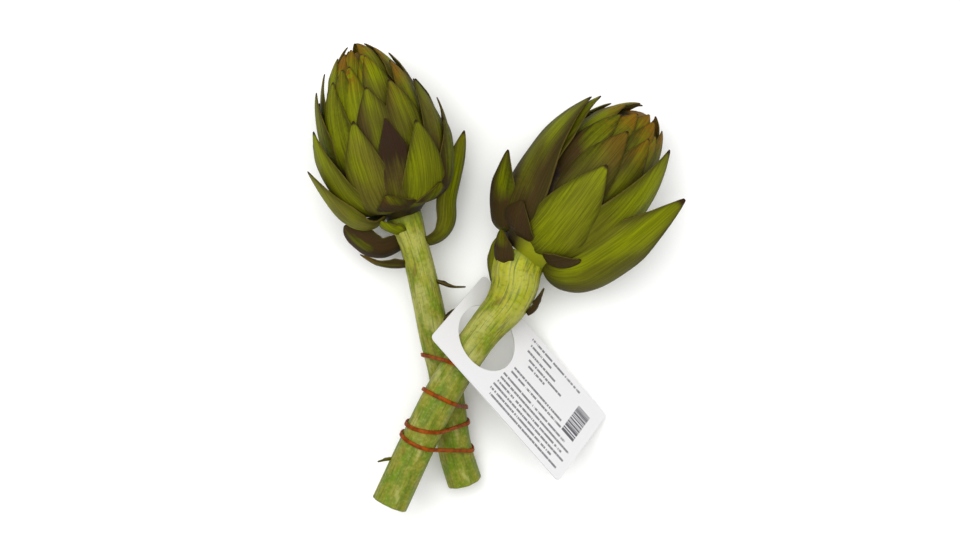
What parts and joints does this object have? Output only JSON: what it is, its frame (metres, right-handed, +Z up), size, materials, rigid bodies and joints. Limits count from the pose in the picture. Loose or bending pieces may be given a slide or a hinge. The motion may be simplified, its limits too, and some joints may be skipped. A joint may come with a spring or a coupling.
{
  "type": "artichokes tied in a pair",
  "caption": "Fresh artichokes with crossed stems, tied by thin rubber bands, with a paper tag on one stem; lies on a surface.",
  "frame": {"origin": "on the surface the part lies on, under the middle of its box", "axes": "+Z up from the surface, +Y along the part towards the flower heads, +X to the right as seen from above"},
  "size_m": [0.2094, 0.2624, 0.0753],
  "materials": {
    "bracts": "waxy satin, green with purple-brown patches",
    "stem": "ribbed, satin, yellow-green",
    "band": "smooth, dull orange-brown",
    "tag": "matte white card with plain grey lines"
  },
  "bodies": {
    "root": {"head_left": "bracts", "head_right": "bracts", "stem_left": "stem", "stem_right": "stem", "rubber_band_1": "band", "rubber_band_2": "band", "rubber_band_3": "band", "rubber_band_4": "band", "paper_tag": "tag"}
  },
  "joints": []
}
